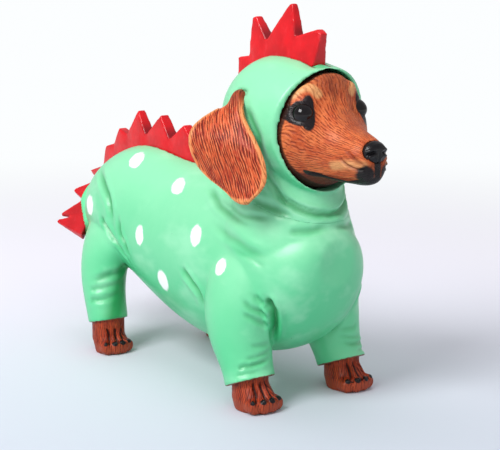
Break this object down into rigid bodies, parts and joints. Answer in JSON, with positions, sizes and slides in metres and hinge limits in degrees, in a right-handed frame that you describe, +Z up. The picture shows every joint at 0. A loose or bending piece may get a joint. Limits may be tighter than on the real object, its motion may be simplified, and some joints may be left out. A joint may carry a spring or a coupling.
{
  "type": "dog figurine",
  "caption": "Standing dachshund figurine in a hooded dinosaur suit with red crests, drooping ears, a curled tail and flat-soled paws.",
  "frame": {"origin": "middle of the figurine's bounding box, on the plane that its paws stand on", "axes": "+Z up, -Y the way the dog looks, +X the dog's left side"},
  "size_m": [0.0662, 0.1694, 0.1299],
  "materials": {
    "green_glaze": "glossy mint-green glaze with white dots",
    "brown_coat": "carved fur, colour-washed brown, satin",
    "red_glaze": "glossy red glaze",
    "black_glaze": "high-gloss black glaze"
  },
  "bodies": {
    "root": {"suit_body": "green_glaze", "hood": "green_glaze", "tail": "green_glaze", "dog_head": "brown_coat", "right_ear": "brown_coat", "left_ear": "brown_coat", "front_right_paw": "brown_coat", "front_left_paw": "brown_coat", "rear_right_paw": "brown_coat", "rear_left_paw": "brown_coat", "head_crest": "red_glaze", "back_crest": "red_glaze", "tail_crest": "red_glaze", "nose": "black_glaze", "right_eye": "black_glaze", "left_eye": "black_glaze"}
  },
  "joints": []
}
